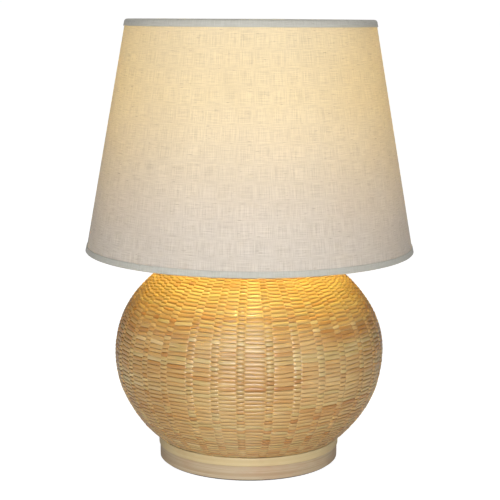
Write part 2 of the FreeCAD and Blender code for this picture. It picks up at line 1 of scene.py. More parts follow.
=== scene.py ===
import bpy
import math
import numpy as np
from mathutils import Euler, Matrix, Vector


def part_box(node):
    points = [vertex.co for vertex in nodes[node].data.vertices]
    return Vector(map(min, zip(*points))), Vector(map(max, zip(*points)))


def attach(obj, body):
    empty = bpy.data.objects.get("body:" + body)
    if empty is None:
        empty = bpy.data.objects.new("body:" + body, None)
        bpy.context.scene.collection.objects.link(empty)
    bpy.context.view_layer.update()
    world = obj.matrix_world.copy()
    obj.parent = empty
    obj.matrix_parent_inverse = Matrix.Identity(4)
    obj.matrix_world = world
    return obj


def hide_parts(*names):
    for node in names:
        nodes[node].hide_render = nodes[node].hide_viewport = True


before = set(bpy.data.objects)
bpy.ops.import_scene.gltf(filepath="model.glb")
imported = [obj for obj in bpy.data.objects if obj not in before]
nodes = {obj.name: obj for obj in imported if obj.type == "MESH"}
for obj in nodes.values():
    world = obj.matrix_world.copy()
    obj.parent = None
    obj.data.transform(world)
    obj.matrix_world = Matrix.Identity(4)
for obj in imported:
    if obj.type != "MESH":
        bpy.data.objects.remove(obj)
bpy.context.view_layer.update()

# A lit table lamp: linen shade, woven bamboo globe, bent bamboo foot. Metres, +Z up,
# with the lamp's axis on Z and its front towards -Y. Sizes and places that the CAD
# nodes have are read from them.

TAU = 2 * math.pi
MM = 0.001


# ---- mesh helpers ---------------------------------------------------------------------

def cad_points(node):
    """The vertices of a CAD node, as an array."""
    mesh = nodes[node].data
    found = np.empty(len(mesh.vertices) * 3)
    mesh.vertices.foreach_get("co", found)
    return found.reshape(-1, 3)


def radius_at_ends(node):
    """Largest radius about Z at a node's lowest and highest points."""
    points = cad_points(node)
    r = np.hypot(points[:, 0], points[:, 1])
    z = points[:, 2]
    near = 0.05 * MM
    return r[z < z.min() + near].max(), r[z > z.max() - near].max()


def new_object(name, verts, quads, uv=None, smooth=True):
    """A mesh object from arrays; uv gives one (u, v) per vertex of each quad."""
    mesh = bpy.data.meshes.new(name)
    mesh.vertices.add(len(verts))
    mesh.vertices.foreach_set("co", np.asarray(verts, np.float32).ravel())
    quads = np.asarray(quads, np.int32)
    mesh.loops.add(quads.size)
    mesh.loops.foreach_set("vertex_index", quads.ravel())
    mesh.polygons.add(len(quads))
    mesh.polygons.foreach_set("loop_start", np.arange(0, quads.size, quads.shape[1], dtype=np.int32))
    mesh.polygons.foreach_set("loop_total", np.full(len(quads), quads.shape[1], np.int32))
    if uv is not None:
        layer = mesh.uv_layers.new(name="Along")
        layer.data.foreach_set("uv", np.asarray(uv, np.float32).ravel())
    mesh.update(calc_edges=True)
    mesh.validate()
    mesh.polygons.foreach_set("use_smooth", np.full(len(quads), smooth))
    obj = bpy.data.objects.new(name, mesh)
    bpy.context.scene.collection.objects.link(obj)
    return obj


def grid_quads(rows, columns, wrap_rows, wrap_columns):
    """Quads of a grid of rows x columns points, numbered row by row."""
    i = np.arange(rows if wrap_rows else rows - 1)
    j = np.arange(columns if wrap_columns else columns - 1)
    i, j = np.meshgrid(i, j, indexing="ij")
    up = (i + 1) % rows
    along = (j + 1) % columns
    return np.stack([i * columns + j, i * columns + along, up * columns + along, up * columns + j],
                    axis=-1).reshape(-1, 4)


def quad_uvs(u0, u1, v0, v1):
    """The four (u, v) corners of each quad, in the order of grid_quads."""
    return np.stack([np.stack([u0, v0], -1), np.stack([u1, v0], -1),
                     np.stack([u1, v1], -1), np.stack([u0, v1], -1)], axis=1)


def ring_grid(name, outline, theta):
    """A closed ring. outline[i, j] is the (radius, z) of its outline's point i at angle theta[j]."""
    count, turns = outline.shape[:2]
    r, z = outline[..., 0], outline[..., 1]
    verts = np.stack([r * np.cos(theta), r * np.sin(theta), z], axis=-1).reshape(-1, 3)
    quads = grid_quads(count, turns, True, True)
    step = np.linalg.norm(np.roll(outline, -1, axis=0) - outline, axis=-1).mean(axis=1)
    across = np.concatenate([[0], np.cumsum(step)])
    i = np.repeat(np.arange(count), turns)
    j = np.tile(np.arange(turns), count)
    length = TAU * float(r.mean()) / turns
    uv = quad_uvs(j * length, (j + 1) * length, across[i], across[i + 1])
    return new_object(name, verts, quads, uv)


def waves(rng, theta, counts, size):
    """A smooth closed wobble: sines with whole numbers of waves round the ring."""
    total = np.zeros_like(theta)
    for n in counts:
        total = total + rng.normal() * np.sin(n * theta + rng.uniform(0, TAU)) / math.sqrt(len(counts))
    return size * total


# ---- material helpers -----------------------------------------------------------------

class Nodes:
    """A new node material, with short calls to add and link nodes."""

    def __init__(self, name):
        self.material = bpy.data.materials.new(name)
        self.material.use_nodes = True
        self.tree = self.material.node_tree
        self.shader = self.tree.nodes["Principled BSDF"]
        self.output = self.tree.nodes["Material Output"]

    def add(self, kind, **settings):
        node = self.tree.nodes.new("ShaderNode" + kind)
        for key, value in settings.items():
            if key[0].isupper() or key.isdigit():
                node.inputs[int(key) if key.isdigit() else key.replace("_", " ")].default_value = value
            else:
                setattr(node, key, value)
        return node

    def link(self, source, target):
        self.tree.links.new(source, target)

    def uv(self):
        return self.add("UVMap", uv_map="Along").outputs["UV"]

    def place(self):
        return self.add("TexCoord").outputs["Object"]

    def scaled(self, vector, scale):
        node = self.add("Mapping")
        node.inputs["Scale"].default_value = scale
        self.link(vector, node.inputs["Vector"])
        return node.outputs["Vector"]

    def noise(self, vector, scale, detail=3.0, rough=0.55):
        node = self.add("TexNoise", Scale=scale, Detail=detail, Roughness=rough)
        self.link(vector, node.inputs["Vector"])
        return node.outputs["Fac"]

    def ramp(self, value, stops):
        node = self.add("ValToRGB")
        ramp = node.color_ramp
        while len(ramp.elements) < len(stops):
            ramp.elements.new(0.5)
        for element, (position, colour) in zip(ramp.elements, stops):
            element.position = position
            element.color = (*colour, 1.0)
        self.link(value, node.inputs["Fac"])
        return node.outputs["Color"]

    def to_range(self, value, low, high, from_low=0.0, from_high=1.0, curve="LINEAR"):
        node = self.add("MapRange", interpolation_type=curve)
        node.inputs["From Min"].default_value = from_low
        node.inputs["From Max"].default_value = from_high
        node.inputs["To Min"].default_value = low
        node.inputs["To Max"].default_value = high
        self.link(value, node.inputs["Value"])
        return node.outputs["Result"]

    def mix(self, a, b, factor, blend="MIX"):
        node = self.add("Mix", data_type="RGBA", blend_type=blend)
        for value, socket in ((a, node.inputs[6]), (b, node.inputs[7]), (factor, node.inputs[0])):
            if isinstance(value, (int, float)):
                socket.default_value = value
            elif isinstance(value, tuple):
                socket.default_value = (*value, 1.0)
            else:
                self.link(value, socket)
        return node.outputs[2]

    def times(self, a, b):
        node = self.add("Math", operation="MULTIPLY")
        self.link(a, node.inputs[0])
        self.link(b, node.inputs[1])
        return node.outputs[0]

    def bump(self, height, strength, distance):
        node = self.add("Bump", Strength=strength, Distance=distance)
        self.link(height, node.inputs["Height"])
        self.link(node.outputs["Normal"], self.shader.inputs["Normal"])

    def pass_light(self, colour, share):
        """Lets a share of the light through, tinted by a colour."""
        through = self.add("BsdfTranslucent")
        self.link(colour, through.inputs["Color"])
        both = self.add("MixShader")
        both.inputs["Fac"].default_value = share
        self.link(self.shader.outputs[0], both.inputs[1])
        self.link(through.outputs[0], both.inputs[2])
        self.link(both.outputs[0], self.output.inputs["Surface"])

    def set(self, **values):
        for key, value in values.items():
            socket = self.shader.inputs[key.replace("_", " ")]
            if isinstance(value, tuple):
                socket.default_value = (*value, 1.0)
            elif isinstance(value, (int, float)):
                socket.default_value = value
            else:
                self.link(value, socket)


def linear(r, g, b):
    """A colour given in display values from 0 to 255, as linear light."""
    found = []
    for value in (r / 255, g / 255, b / 255):
        found.append(value / 12.92 if value <= 0.04045 else ((value + 0.055) / 1.055) ** 2.4)
    return tuple(found)


# ---- the woven globe ------------------------------------------------------------------

STAKES = 32                    # as many as the CAD node has
FIRST_STAKE = math.radians(-2.3)  # and the first at the same angle
STAKE_HALF = 3.0 * MM          # half a stake's width
STAKE_THICK = 0.6 * MM
STAKE_LEAN = 0.05              # spread of the stakes' places, as a share of their spacing
STAKE_SECTION = [(-1.0, -0.5), (-1.0, 0.3), (-0.7, 0.5), (0.7, 0.5), (1.0, 0.3), (1.0, -0.5)]

WEAVER_PITCH = 2.2 * MM        # one weaver to the next, along the side
WEAVER_WIDTH = 4.25 * MM
WEAVER_THICK = 1.3 * MM
WEAVER_SECTION = [(-0.5, 0.0), (-0.39, 0.38), (0.0, 0.5), (0.39, 0.38), (0.5, 0.0), (0.0, -0.5)]
WIDTH_WOBBLE = 0.08            # how unevenly wide one weaver is, as a share of its width
WIDTH_SPREAD = 0.07            # and how much weavers differ from each other
THICK_SPREAD = 0.06            # the same for their thickness
NECK_NARROWER = 0.15           # from halfway up, weavers get narrower by up to this share
ROWS_PER_PIECE = 30

COLUMN_HALF = 3.6 * MM         # half the width over which a weaver crosses a stake
COLUMN_SHARE = 0.17            # and the most it can be, as a share of the stakes' spacing
COLUMN_OUT = 0.95 * MM         # how far a weaver stands out in front of a stake, or in behind it
PANEL_FRONT = 0.5 * MM         # between stakes, one weaver stands out by this
PANEL_BACK = 0.3 * MM          # and the next one in by this
# The weave's middle lies this far inside the outside of its CAD shell.
SURFACE_IN = COLUMN_OUT + WEAVER_THICK / 2 - 0.9 * MM
LEAVES_STAKE = 0.55            # a weaver leaves a stake at this many half columns from it
CROSSES_IN = 0.9               # and is between stakes after this many more
SQUEEZE = 0.14                 # how much narrower a weaver gets beside a stake

SLOW_WANDER = 0.12 * MM        # up and down, over much of the way round
QUICK_WANDER = 0.10 * MM       # up and down, over about the stakes' spacing
DRIFT = 0.55 * MM              # up and down, shared by neighbouring weavers
TILT = 0.2 * MM                # up on one side of a stake and down on the other
OUT_WANDER = 0.08 * MM         # in and out

LOOSE_ANGLE = math.radians(-106.0)  # the middle of a patch of looser weaving below the neck
LOOSE_DOWN = 45.0 * MM         # and how far it lies down the side from the neck
LOOSE_ROUND = 0.18             # radians, half the patch's width
LOOSE_HIGH = 8.0 * MM          # half its height
LOOSE_THIN = 0.62              # the share of width its weavers lose, times 0.4 to 1.1 at random


class Globe:
    """The globe's outline as two quarter ellipses, measured on its CAD shell."""

    def __init__(self):
        points = cad_points("woven_body")
        r = np.hypot(points[:, 0], points[:, 1])
        low, top = points[:, 2].min(), points[:, 2].max()
        widest = r.argmax()
        radius, middle = r[widest], points[widest, 2]
        seat, neck = radius_at_ends("woven_body")
        half_low = (middle - low) / math.sqrt(1 - (seat / radius) ** 2)
        half_top = (top - middle) / math.sqrt(1 - (neck / radius) ** 2)
        steps = 4001
        t = np.linspace(-math.asin((middle - low) / half_low), math.asin((top - middle) / half_top), steps)
        half = np.where(t < 0, half_low, half_top)
        r = radius * np.cos(t)
        z = middle + half * np.sin(t)
        normal = np.stack([np.cos(t) / radius, np.sin(t) / half], axis=1)
        self.normal = normal / np.linalg.norm(normal, axis=1)[:, None]
        self.r = r - self.normal[:, 0] * SURFACE_IN
        self.z = z - self.normal[:, 1] * SURFACE_IN
        lengths = np.hypot(np.diff(self.r), np.diff(self.z))
        self.s = np.concatenate([[0], np.cumsum(lengths)])
        self.length = self.s[-1]

    def at(self, s):
        """Radius, height and outward normal of the middle surface at a distance up the side."""
        s = np.clip(s, 0, self.length)
        nr = np.interp(s, self.s, self.normal[:, 0])
        nz = np.interp(s, self.s, self.normal[:, 1])
        return np.interp(s, self.s, self.r), np.interp(s, self.s, self.z), nr, nz


def smooth_step(x):
    """Rises smoothly from 0 at 0 to 1 at 1."""
    x = np.clip(x, 0, 1)
    return x * x * (3 - 2 * x)


class Pulls:
    """How far each stake's weavers are pushed up or down, changing slowly up the side."""

    def __init__(self, rng):
        self.rows = (23.0, 47.0, 90.0)
        self.size = (0.22 * MM, 0.42 * MM, 0.5 * MM)
        self.phase = rng.uniform(0, TAU, (len(self.rows), STAKES))

    def __call__(self, row, stake):
        total = 0
        for rows, size, phase in zip(self.rows, self.size, self.phase):
            total = total + size * np.sin(TAU * row / rows + phase[stake])
        return total


def weaver(globe, rng, row, s_row, lean, pulls):
    """One weaver all the way round: its points as (outline, angles, 3) and its uv steps."""
    r_row = float(globe.at(s_row)[0])
    period = TAU * r_row / STAKES
    column = min(COLUMN_HALF, COLUMN_SHARE * period)
    # Points are close together near a stake, with one more halfway along the rest.
    stops = np.array([0.0, 0.45, 0.8, 1.15, 1.5])
    side = np.concatenate([stops * column, [(stops[-1] * column + period / 2) / 2]])
    x = np.concatenate([-side[:0:-1], side, [period / 2]])
    from_stake = np.tile(x, STAKES)
    stake = np.repeat(np.arange(STAKES), len(x))
    # Stakes stand a little unevenly, the same for every weaver.
    theta = FIRST_STAKE + (stake + lean[stake]) * TAU / STAKES + from_stake / r_row
    wrapped = np.abs(from_stake)
    free = smooth_step((wrapped / column - LEAVES_STAKE) / CROSSES_IN)
    if row % 2:
        out = COLUMN_OUT - (COLUMN_OUT + PANEL_BACK) * free
    else:
        out = -COLUMN_OUT + (COLUMN_OUT + PANEL_FRONT) * free
    # Between stakes a weaver runs straight, so it cuts the corner of the round.
    half_panel = (period / 2 - column) / r_row
    a = (period / 2 - np.maximum(wrapped, column)) / r_row
    out = out - r_row * (1 - math.cos(half_panel) / np.cos(a))
    wander = waves(rng, theta, (2, 3, 5, 9), SLOW_WANDER) + waves(rng, theta, (19, 27, 41), QUICK_WANDER)
    wander += DRIFT * np.sin(3 * theta + row * 0.035) * np.sin(2 * theta + 1.3 - row * 0.05)
    # At each stake the weavers are pushed up or down, and run straight on to the next one.
    here = pulls(row, stake)
    beside = pulls(row, (stake + np.where(from_stake > 0, 1, -1)) % STAKES)
    share = wrapped / period
    wander += here * (1 - share) + beside * share
    tilt = np.repeat(rng.normal(0, TILT, STAKES), len(x)) * np.sin(from_stake / period * TAU)
    r, z, nr, nz = globe.at(s_row + wander + tilt)
    out = out + waves(rng, theta, (3, 7, 11), OUT_WANDER)
    width = WEAVER_WIDTH * (1 + waves(rng, theta, (1, 4, 6, 17, 31, 43), WIDTH_WOBBLE))
    width = width * rng.normal(1, WIDTH_SPREAD)
    around = (theta - LOOSE_ANGLE + math.pi) % TAU - math.pi
    down = globe.length - s_row - LOOSE_DOWN
    loose = np.exp(-(around / LOOSE_ROUND) ** 2) * math.exp(-(down / LOOSE_HIGH) ** 2)
    width = width * (1 - LOOSE_THIN * loose * rng.uniform(0.4, 1.1))
    width = width * (1 - NECK_NARROWER * smooth_step((s_row / globe.length - 0.5) / 0.25))
    # It is squeezed where it passes its neighbours beside a stake.
    width = width * (1 - SQUEEZE * 4 * free * (1 - free))
    thick = WEAVER_THICK * (1 + THICK_SPREAD * rng.normal())
    section = np.array(WEAVER_SECTION)
    a = section[:, 0, None] * width[None, :]
    b = section[:, 1, None] * thick + out[None, :]
    radius = r + nr * b - nz * a
    height = z + nz * b + nr * a
    points = np.stack([radius * np.cos(theta), radius * np.sin(theta), height], axis=-1)
    along = np.concatenate([[0], np.cumsum(np.diff(theta) * r_row)])
    end = along[-1] + (TAU - (theta[-1] - theta[0])) * r_row
    return points, np.append(along, end)


def weave_piece(name, rows):
    """Several weavers as one mesh. Its uv is metres along and rows across."""
    verts, quads, uvs, start = [], [], [], 0
    for row, points, along in rows:
        count, turns = points.shape[:2]
        verts.append(points.reshape(-1, 3))
        quads.append(grid_quads(count, turns, True, True) + start)
        start += count * turns
        i = np.repeat(np.arange(count), turns)
        j = np.tile(np.arange(turns), count)
        uvs.append(quad_uvs(along[j], along[j + 1], row + i / count, row + (i + 1) / count))
    return new_object(name, np.concatenate(verts), np.concatenate(quads), np.concatenate(uvs))


def woven_globe(material):
    """Makes the weavers. Returns the globe's outline and how far each stake leans aside."""
    globe = Globe()
    rng = np.random.default_rng(11)
    lean = rng.normal(0, STAKE_LEAN, STAKES)
    pulls = Pulls(rng)
    margin = WEAVER_WIDTH / 2
    count = int((globe.length - 2 * margin) / WEAVER_PITCH)
    rows = []
    for row in range(count + 1):
        points, along = weaver(globe, rng, row, margin + row * WEAVER_PITCH, lean, pulls)
        rows.append((row, points, along))
    for first in range(0, len(rows), ROWS_PER_PIECE):
        piece = weave_piece(f"weavers_{first // ROWS_PER_PIECE + 1}", rows[first:first + ROWS_PER_PIECE])
        piece.data.materials.append(material)
        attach(piece, "base")
        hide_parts("woven_body")
    return globe, lean


def stakes(globe, lean, material):
    """The upright splints, one closed strip each, joined into one mesh."""
    columns = 70
    levels = np.linspace(0, globe.length, columns)
    r, z, nr, nz = globe.at(levels)
    period = TAU * r / STAKES
    half = np.minimum(STAKE_HALF, COLUMN_SHARE * period)
    section = np.array(STAKE_SECTION)
    rows = len(section)
    caps = [[0, 1, 4, 5], [1, 2, 3, 4]]
    ends = [[k * columns for k in cap] for cap in caps]
    ends += [[k * columns + columns - 1 for k in reversed(cap)] for cap in caps]
    verts, quads, uvs, start = [], [], [], 0
    for stake in range(STAKES):
        theta = FIRST_STAKE + (stake + lean[stake]) * TAU / STAKES
        across = section[:, 0, None] * half[None, :]
        out = section[:, 1, None] * STAKE_THICK
        radius = r + nr * out
        height = z + nz * out
        points = np.stack([radius * math.cos(theta) - across * math.sin(theta),
                           radius * math.sin(theta) + across * math.cos(theta),
                           height + 0 * across], axis=-1)
        verts.append(points.reshape(-1, 3))
        quads.append(grid_quads(rows, columns, True, False)[:, ::-1] + start)
        quads.append(np.array(ends) + start)
        start += rows * columns
        i = np.repeat(np.arange(rows), columns - 1)
        j = np.tile(np.arange(columns - 1), rows)
        sides = quad_uvs(levels[j], levels[j + 1], stake + i / rows, stake + (i + 1) / rows)
        uvs.append(sides[:, ::-1])
        uvs.append(np.zeros((len(ends), 4, 2)))
    piece = new_object("stake_splints", np.concatenate(verts), np.concatenate(quads), np.concatenate(uvs))
    piece.data.materials.append(material)
    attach(piece, "base")
    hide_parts("body_stakes")


# Painted light: the globe is painted yellower from the first of these heights up to the second, for the
# bulb's light under the shade.
NECK_PAINTED_LIGHT = (1.0, 1.0, 0.64)
NECK_PAINTED_LIGHT_FROM = 0.155         # metres up the lamp
NECK_PAINTED_LIGHT_FULL = 0.19


def split_bamboo(name, tones, seed, gloss=0.55, middle=1 / 3):
    """Lacquered split bamboo: each row has its own tone, with fibres along it.

    middle is where the middle of the outer face lies between one whole v and the next.
    """
    m = Nodes(name)
    parts = m.add("SeparateXYZ")
    m.link(m.uv(), parts.inputs[0])
    row = m.add("Math", operation="FLOOR")
    m.link(parts.outputs["Y"], row.inputs[0])

    def strand(along, across, source):
        spot = m.add("CombineXYZ")
        spot.inputs["Z"].default_value = seed
        m.link(parts.outputs["X"], spot.inputs["X"])
        m.link(source, spot.inputs["Y"])
        return m.scaled(spot.outputs[0], (along, across, 1.0))

    tone = m.noise(strand(6.0, 7.31, row.outputs[0]), 1.0, 2.0, 0.5)
    patch = m.noise(strand(17.0, 3.17, row.outputs[0]), 1.0, 4.0, 0.6)
    fibre = m.noise(strand(45.0, 34.0, parts.outputs["Y"]), 1.0, 4.0, 0.65)
    colour = m.ramp(m.to_range(tone, 0.0, 1.0, 0.3, 0.7), tones)
    colour = m.mix(colour, linear(172, 120, 60), m.to_range(patch, 0.0, 0.5, 0.56, 0.8))
    colour = m.mix(colour, linear(228, 208, 162), m.to_range(patch, 0.45, 0.0, 0.22, 0.42))
    colour = m.mix(colour, linear(140, 94, 50), m.to_range(fibre, 0.0, 0.6, 0.5, 0.8))
    # Patches of the globe are browner or paler.
    broad = m.noise(m.place(), 14.0, 2.0, 0.5)
    colour = m.mix(colour, linear(180, 132, 70), m.to_range(broad, 0.0, 0.4, 0.5, 0.75))
    colour = m.mix(colour, linear(218, 192, 142), m.to_range(broad, 0.35, 0.0, 0.3, 0.5))
    # Painted shade: each splint is painted darker along its edges, for the shade in the gaps between splints,
    # more so towards the neck under the lit shade.
    part = m.add("Math", operation="FRACT")
    m.link(parts.outputs["Y"], part.inputs[0])
    off = m.add("Math", operation="SUBTRACT", **{"1": middle})
    m.link(part.outputs[0], off.inputs[0])
    side = m.add("Math", operation="ABSOLUTE")
    m.link(off.outputs[0], side.inputs[0])
    place = m.add("SeparateXYZ")
    m.link(m.place(), place.inputs[0])
    edge = m.to_range(side.outputs[0], 0.0, 0.9, 0.58 * middle, middle)
    edge = m.times(edge, m.to_range(patch, 0.4, 1.0, 0.35, 0.6))
    edge = m.times(edge, m.to_range(place.outputs["Z"], 0.75, 1.1, 0.10, 0.18))
    colour = m.mix(colour, linear(122, 70, 22), edge)
    # Painted light: near the neck the globe is painted yellower than elsewhere, for the bulb's light that
    # falls on it under the lit shade.
    near_neck = m.to_range(place.outputs["Z"], 0.0, 1.0, NECK_PAINTED_LIGHT_FROM, NECK_PAINTED_LIGHT_FULL)
    colour = m.mix(colour, NECK_PAINTED_LIGHT, near_neck, "MULTIPLY")
    m.set(Base_Color=colour, Roughness=m.to_range(fibre, gloss - 0.12, gloss + 0.14),
          Coat_Weight=0.9, Coat_Roughness=0.12, Coat_IOR=1.6, Specular_IOR_Level=0.5)
    m.bump(fibre, 0.55, 0.2 * MM)
    return m.material


# ---- the foot -------------------------------------------------------------------------

STRIP_WOBBLE = 0.10 * MM       # how uneven a strip's face and rim are
FACE_OUT = 0.3 * MM            # the middle of its face is drawn this far outside its CAD node
FACE_CROWN = 0.10 * MM         # and stands out by this from the face's edges
FACE_IN = 0.1 * MM             # the face is then taken in by this
RIM_IN = 0.2 * MM              # and the rim by this, both by the shares that an outline gives


def bent_strip(name, node, material, edge, rng, turns=288):
    """A strip bent into a ring, with slightly uneven faces and rounded edges."""
    low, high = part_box(node)
    points = cad_points(node)
    r = np.hypot(points[:, 0], points[:, 1])
    inner, outer = r.min(), r.max()
    theta = np.linspace(0, TAU, turns, endpoint=False)
    face = waves(rng, theta, (2, 5, 9, 16), STRIP_WOBBLE)
    rim = waves(rng, theta, (3, 4, 7), STRIP_WOBBLE)

    def section():
        """The strip's outline: radius, height, and its shares of the face's and rim's unevenness."""
        bottom, top = low.z, high.z
        face_low, face_high = bottom + edge, top - edge
        corner = outer + FACE_OUT - FACE_CROWN
        rows = []
        steps = 6
        for i in range(steps + 1):
            rows.append((outer + FACE_OUT - FACE_CROWN * (2 * i / steps - 1) ** 2,
                         face_low + (face_high - face_low) * i / steps, 1.0, 0.0))
        for i in range(1, 4):
            angle = math.pi / 2 * i / 3
            rows.append((corner - edge * (1 - math.cos(angle)),
                         top - edge + edge * math.sin(angle), 0.6, 0.5))
        rows.append((inner + edge, top, 0.0, 0.5))
        rows.append((inner, top - edge, 0.0, 0.0))
        rows.append((inner, bottom + edge, 0.0, 0.0))
        rows.append((inner + edge, bottom, 0.0, 0.0))
        for i in range(0, 3):
            angle = math.pi / 2 * i / 3
            rows.append((corner - edge * (1 - math.sin(angle)),
                         bottom + edge - edge * math.cos(angle), 0.6, 0.0))
        return np.stack([np.stack([np.full(turns, row[0]) + row[2] * (face - FACE_IN),
                                   np.full(turns, row[1]) + row[3] * (rim - RIM_IN)], axis=-1)
                         for row in rows])

    piece = ring_grid(name, section(), theta)
    piece.data.materials.append(material)
    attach(piece, "base")
    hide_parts(node)
    return piece


def open_inlet(band):
    """Cuts the cord inlet's bore through the foot's band, as wide as in its CAD node."""
    low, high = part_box("cable_grommet")
    middle = (low + high) / 2
    points = cad_points("foot_band")
    off = np.hypot(points[:, 0] - middle.x, points[:, 2] - middle.z)
    near = (points[:, 1] > 0) & (off < (high.x - low.x) / 2)
    bore = off[near].max()
    turns = 48
    angle = np.linspace(0, TAU, turns, endpoint=False)
    ring = np.stack([middle.x + bore * np.cos(angle), 0 * angle, middle.z + bore * np.sin(angle)], axis=-1)
    reach = 12 * MM                # each way from the grommet's middle, well past the band
    ends = [ring + (0.0, middle.y, 0.0) + (0.0, side * reach, 0.0) for side in (-1, 1)]
    mesh = bpy.data.meshes.new("inlet_cutter")
    faces = grid_quads(2, turns, False, True).tolist()
    faces += [list(range(turns))[::-1], list(range(turns, 2 * turns))]
    mesh.from_pydata(np.concatenate(ends).tolist(), [], faces)
    cutter = bpy.data.objects.new("inlet_cutter", mesh)
    bpy.context.scene.collection.objects.link(cutter)
    cut = band.modifiers.new("inlet", "BOOLEAN")
    cut.operation = "DIFFERENCE"
    cut.solver = "EXACT"
    cut.object = cutter
    done = bpy.data.meshes.new_from_object(band.evaluated_get(bpy.context.evaluated_depsgraph_get()))
    band.modifiers.clear()
    band.data = done
    bpy.data.objects.remove(cutter)


def bent_bamboo(name, light, dark, blush, seed, streak=0.5):
    """Peeled bamboo strip: long fine grain round the ring, blotches and a satin face."""
    m = Nodes(name)
    uv = m.uv()
    grain = m.noise(m.scaled(uv, (14.0, 1500.0, 1.0)), 1.0, 4.0, 0.6)
    long_grain = m.noise(m.scaled(uv, (5.0, 420.0, 1.0)), 1.0, 3.0, 0.5)
    blotch = m.noise(m.scaled(m.place(), (1.0, 1.0, 2.0)), 26.0 + seed, 3.0, 0.55)
    colour = m.mix(light, dark, m.to_range(grain, 0.0, streak, 0.42, 0.75))
    colour = m.mix(colour, dark, m.to_range(long_grain, 0.0, 0.7 * streak, 0.5, 0.72))
    band = m.noise(m.scaled(uv, (2.4, 150.0, 1.0)), 1.0, 2.0, 0.5)
    colour = m.mix(colour, dark, m.to_range(band, 0.0, streak, 0.5, 0.7))
    colour = m.mix(colour, blush, m.to_range(blotch, 0.0, 0.55, 0.48, 0.7))
    m.set(Base_Color=colour, Roughness=m.to_range(long_grain, 0.42, 0.62),
          Coat_Weight=0.25, Coat_Roughness=0.25)
    m.bump(grain, 0.4, 0.12 * MM)
    return m.material


# ---- the shade ------------------------------------------------------------------------

class Cone:
    """A tapered CAD shell: its outside radius at any height."""

    def __init__(self, node):
        low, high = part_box(node)
        self.low, self.high = low.z, high.z
        self.r_low, self.r_high = radius_at_ends(node)

    def r(self, z):
        return self.r_low + (self.r_high - self.r_low) * (z - self.low) / (self.high - self.low)

    def flat(self):
        """The flat cut of the cone: the width and length that it needs, and its area."""
        rise = self.high - self.low
        slant = math.hypot(rise, self.r_low - self.r_high)
        outer = self.r_low * slant / (self.r_low - self.r_high)
        inner = outer - slant
        half_angle = math.pi * (self.r_low - self.r_high) / slant
        width = 2 * outer * math.sin(half_angle)
        length = outer - inner * math.cos(half_angle)
        return (width, length), math.pi * (self.r_low + self.r_high) * slant


LAP = 0.034                    # radians by which a sheet's last column passes its first
LAP_RISE_FROM = 0.04           # radians before the seam where the lap begins to rise
LAP_RISE_OVER = 0.03           # and how many radians it takes
LAP_OUT = 0.22 * MM            # how far the lap stands out over the sheet's start


def shade_sheet(name, node, inset, material, rng, ripple):
    """One layer of the shade's wall, as a sheet with its lapped seam at the back."""
    cone = Cone(node)
    turns, levels = 288, 49
    theta = math.pi / 2 + np.linspace(0, TAU, turns + 1)
    theta[-1] += LAP
    z = np.linspace(cone.low, cone.high, levels)
    r = cone.r(z)[:, None] - inset + 0 * theta[None, :]
    for n, size in ((3, 0.5), (5, 0.4), (8, 0.25)):
        phase, drift = rng.uniform(0, TAU), rng.uniform(-9, 9)
        r = r + ripple * size * np.sin(n * theta[None, :] + phase + drift * z[:, None])
    lap = np.clip((theta - theta[0] - TAU + LAP_RISE_FROM) / LAP_RISE_OVER, 0, 1) * LAP_OUT
    r = r + lap[None, :]
    verts = np.stack([r * np.cos(theta), r * np.sin(theta), z[:, None] + 0 * r], axis=-1).reshape(-1, 3)
    quads = grid_quads(levels, turns + 1, False, False)
    mean_r = float(cone.r(0.5 * (cone.low + cone.high)))
    slant = math.hypot(cone.high - cone.low, cone.r_low - cone.r_high)
    columns = turns + 1
    u = (quads % columns) * (TAU * mean_r / turns)
    v = (quads // columns) * (slant / (levels - 1))
    piece = new_object(name, verts, quads, np.stack([u, v], axis=-1))
    piece.data.materials.append(material)
    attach(piece, "shade")
    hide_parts(node)
    return piece


TAPE_THICK = 0.7 * MM
TAPE_WIRE = 3.6 * MM           # the room that a fold leaves for the rim's wire
TAPE_FOLD = 2.2 * MM           # how far below the rim the fold's round begins


